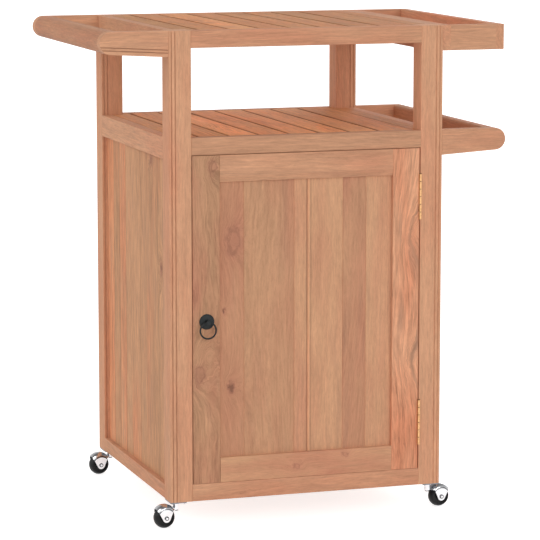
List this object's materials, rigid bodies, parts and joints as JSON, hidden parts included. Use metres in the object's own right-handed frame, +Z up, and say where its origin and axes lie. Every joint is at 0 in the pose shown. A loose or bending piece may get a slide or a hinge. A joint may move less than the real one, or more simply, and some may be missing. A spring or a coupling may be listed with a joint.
{
  "type": "kitchen trolley",
  "caption": "Wooden kitchen trolley with a slatted top and shelf, a cabinet with a hinged door, a push handle, side rails and swivel casters.",
  "frame": {"origin": "on the floor under the middle of the overall box: halfway along the length and halfway between the ring pull tip and the back", "axes": "+X to the right of someone facing the door, +Y to the back, +Z up"},
  "size_m": [0.74, 0.4992, 0.866],
  "materials": {
    "hardwood": "oiled",
    "chrome": "polished",
    "rubber": "satin",
    "brass": "bright",
    "black_iron": "matt black",
    "steel": "zinc plated",
    "catch_plastic": "moulded"
  },
  "bodies": {
    "frame": {"back_panel": "hardwood", "base_rail_back": "hardwood", "base_rail_front": "hardwood", "base_rail_left": "hardwood", "base_rail_right": "hardwood", "bearers": "hardwood", "cabinet_floor": "hardwood", "caster_plates": "chrome", "caster_screws": "steel", "catch_body": "catch_plastic", "handle_arm_back": "hardwood", "handle_arm_front": "hardwood", "handle_bar": "hardwood", "hinge_frame_leaves": "brass", "hinge_frame_screws": "brass", "hinge_pins": "brass", "leg_back_left": "hardwood", "leg_back_right": "hardwood", "leg_front_left": "hardwood", "leg_front_right": "hardwood", "shelf_arm_back": "hardwood", "shelf_arm_front": "hardwood", "shelf_bar": "hardwood", "shelf_edge_boards": "hardwood", "shelf_rail_back": "hardwood", "shelf_rail_front": "hardwood", "shelf_rail_left": "hardwood", "shelf_rail_right": "hardwood", "shelf_slats": "hardwood", "side_frame_back": "hardwood", "side_frame_end": "hardwood", "side_frame_front": "hardwood", "side_frame_inner": "hardwood", "side_panel_left": "hardwood", "side_panel_right": "hardwood", "top_edge_boards": "hardwood", "top_rail_back": "hardwood", "top_rail_front": "hardwood", "top_rail_left": "hardwood", "top_rail_right": "hardwood", "top_slats": "hardwood"},
    "door": {"door_stile_left": "hardwood", "door_stile_right": "hardwood", "door_rail_top": "hardwood", "door_rail_bottom": "hardwood", "door_panel": "hardwood", "hinge_door_leaves": "brass", "hinge_door_screws": "brass", "catch_strike": "steel", "pull_rose": "black_iron"},
    "pull_ring": {"pull_ring": "black_iron"},
    "caster_front_left": {"caster_hood_front_left": "chrome"},
    "wheel_front_left": {"caster_wheel_front_left": "rubber"},
    "caster_front_right": {"caster_hood_front_right": "chrome"},
    "wheel_front_right": {"caster_wheel_front_right": "rubber"},
    "caster_back_left": {"caster_hood_back_left": "chrome"},
    "wheel_back_left": {"caster_wheel_back_left": "rubber"},
    "caster_back_right": {"caster_hood_back_right": "chrome"},
    "wheel_back_right": {"caster_wheel_back_right": "rubber"}
  },
  "joints": [
    {"name": "door_hinge", "type": "hinge", "parent": "frame", "child": "door", "pos_m": [0.209, -0.239, 0.3647], "axis": [0, 0, 1], "range_deg": [0, 180]},
    {"name": "ring_swing", "type": "hinge", "parent": "door", "child": "pull_ring", "pos_m": [-0.1838, -0.2454, 0.363], "axis": [-1, 0, 0], "range_deg": [-12, 165]},
    {"name": "swivel_front_left", "type": "hinge", "parent": "frame", "child": "caster_front_left", "pos_m": [-0.235, -0.2164, 0.047], "axis": [0, 0, 1], "continuous": true},
    {"name": "roll_front_left", "type": "hinge", "parent": "caster_front_left", "child": "wheel_front_left", "pos_m": [-0.25778, -0.2196, 0.019], "axis": [0.1392, -0.9903, 0], "continuous": true},
    {"name": "swivel_front_right", "type": "hinge", "parent": "frame", "child": "caster_front_right", "pos_m": [0.235, -0.2164, 0.047], "axis": [0, 0, 1], "continuous": true},
    {"name": "roll_front_right", "type": "hinge", "parent": "caster_front_right", "child": "wheel_front_right", "pos_m": [0.25778, -0.2132, 0.019], "axis": [-0.1392, 0.9903, 0], "continuous": true},
    {"name": "swivel_back_left", "type": "hinge", "parent": "frame", "child": "caster_back_left", "pos_m": [-0.235, 0.2296, 0.047], "axis": [0, 0, 1], "continuous": true},
    {"name": "roll_back_left", "type": "hinge", "parent": "caster_back_left", "child": "wheel_back_left", "pos_m": [-0.25778, 0.2264, 0.019], "axis": [0.1392, -0.9903, 0], "continuous": true},
    {"name": "swivel_back_right", "type": "hinge", "parent": "frame", "child": "caster_back_right", "pos_m": [0.235, 0.2296, 0.047], "axis": [0, 0, 1], "continuous": true},
    {"name": "roll_back_right", "type": "hinge", "parent": "caster_back_right", "child": "wheel_back_right", "pos_m": [0.25778, 0.2328, 0.019], "axis": [-0.1392, 0.9903, 0], "continuous": true}
  ]
}
